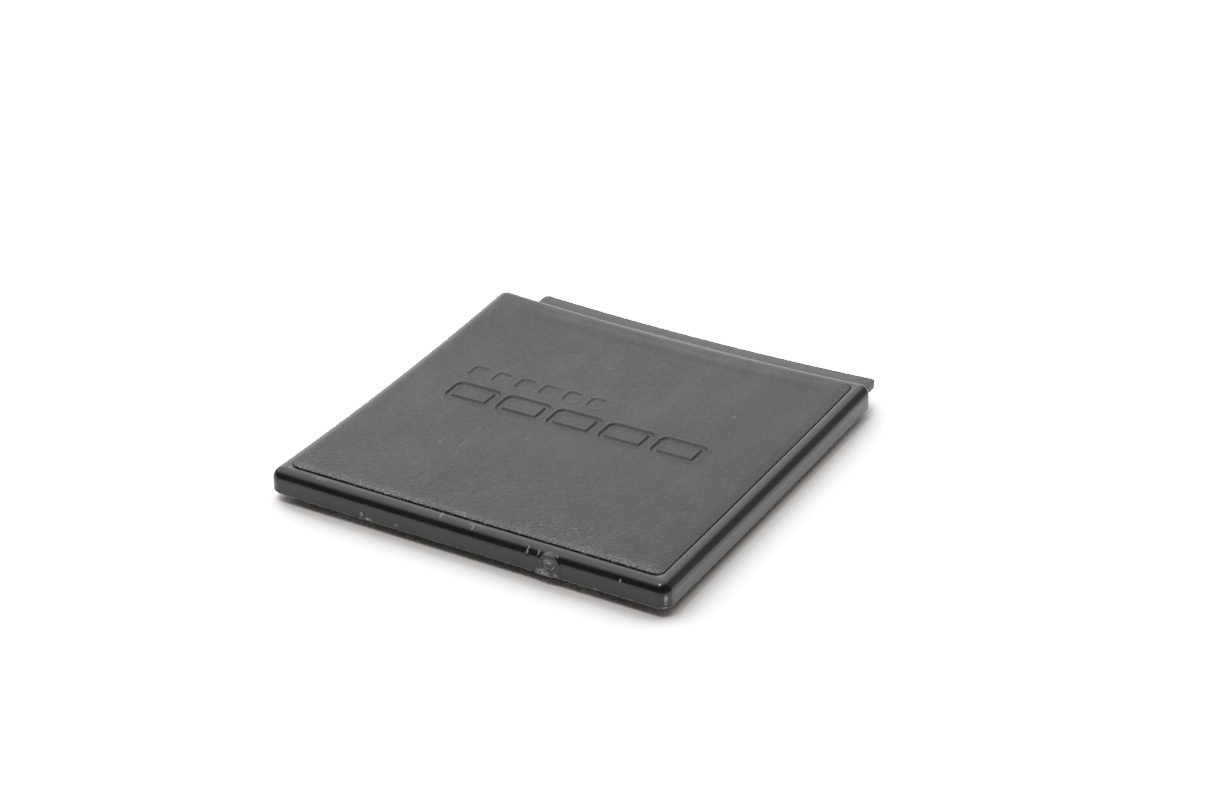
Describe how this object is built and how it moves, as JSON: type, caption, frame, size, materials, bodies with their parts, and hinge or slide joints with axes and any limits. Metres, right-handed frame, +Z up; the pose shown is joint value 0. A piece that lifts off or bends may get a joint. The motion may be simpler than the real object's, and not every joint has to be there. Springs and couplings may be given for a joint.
{
  "type": "film magazine protective cover",
  "caption": "Thin square clip-on protective cover with a grained inset panel, rounded rim and back tongue. The gate frame and sprung claws underneath are assumed.",
  "frame": {"origin": "centre of the gate frame's lower face, on the plane that the cover rests on", "axes": "+X along the front wall to the right, +Y to the tongue at the back, +Z up to the grained panel"},
  "size_m": [0.07, 0.0745, 0.0058],
  "materials": {
    "shell_plastic": "glossy black moulding with light wear on its lower edge",
    "panel_grain": "fine pebble grain, satin",
    "adhesive_film": "translucent film",
    "plate_plastic": "satin black moulding",
    "frame_plastic": "matt black moulding",
    "seal_foam": "open-cell foam",
    "claw_acetal": "satin acetal",
    "pin_steel": "bright steel"
  },
  "bodies": {
    "cover": {"cover_shell": "shell_plastic", "grain_panel": "panel_grain", "panel_adhesive": "adhesive_film", "tongue_plate": "plate_plastic", "gate_frame": "frame_plastic", "light_seal_front": "seal_foam", "light_seal_back": "seal_foam", "light_seal_left": "seal_foam", "light_seal_right": "seal_foam", "claw_pin_left": "pin_steel", "claw_pin_right": "pin_steel", "claw_spring_left": "pin_steel", "claw_spring_right": "pin_steel"},
    "claw_left": {"snap_claw_left": "claw_acetal"},
    "claw_right": {"snap_claw_right": "claw_acetal"}
  },
  "joints": [
    {"name": "claw_left_swing", "type": "hinge", "parent": "cover", "child": "claw_left", "pos_m": [-0.029, -0.03155, 0.0017], "axis": [0, 0, -1], "range_deg": [0, 3.5], "stiffness_Nm_per_rad": 0.08, "deforming": ["claw_spring_left"]},
    {"name": "claw_right_swing", "type": "hinge", "parent": "cover", "child": "claw_right", "pos_m": [0.029, -0.03155, 0.0017], "axis": [0, 0, 1], "range_deg": [0, 3.5], "stiffness_Nm_per_rad": 0.08, "deforming": ["claw_spring_right"]}
  ]
}
